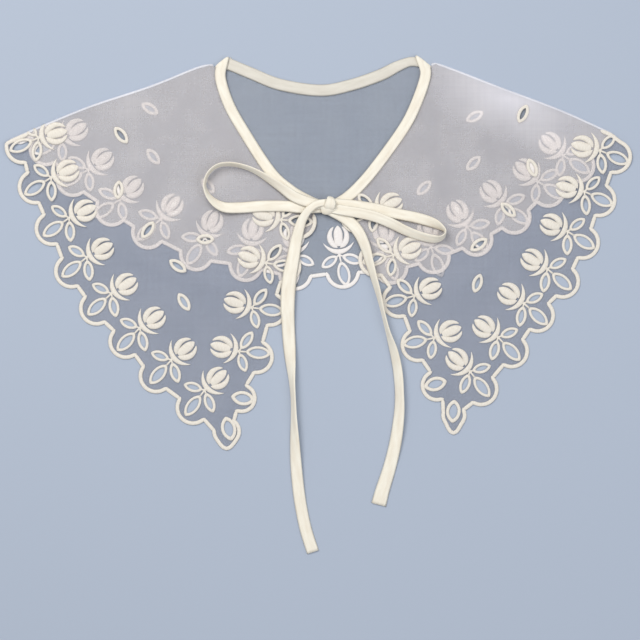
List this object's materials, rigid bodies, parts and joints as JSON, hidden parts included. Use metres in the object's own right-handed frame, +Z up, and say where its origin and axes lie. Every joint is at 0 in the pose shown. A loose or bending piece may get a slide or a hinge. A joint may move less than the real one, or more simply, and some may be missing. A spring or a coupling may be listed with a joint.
{
  "type": "lace collar",
  "caption": "Detachable organza collar laid flat, with embroidered scalloped edges, cut-out leaves, two pointed fronts and a bound neck tied in a bow.",
  "frame": {"origin": "middle of the laid collar's outline without the two loose tails, on the surface it lies on", "axes": "+Z up from the surface, +X to the right across the shoulders, +Y from the points towards the neck"},
  "size_m": [0.4694, 0.3737, 0.011],
  "materials": {
    "organza": "sheer white organza with cream satin-stitch embroidery",
    "binding": "cream cotton bias tape, soft, slightly lustrous"
  },
  "bodies": {
    "root": {"back_panel": "organza", "front_left": "organza", "front_right": "organza", "binding_back": "binding", "binding_left": "binding", "binding_right": "binding", "bow_knot": "binding", "bow_loop_left": "binding", "bow_loop_right": "binding", "bow_tail_left": "binding", "bow_tail_right": "binding"}
  },
  "joints": []
}
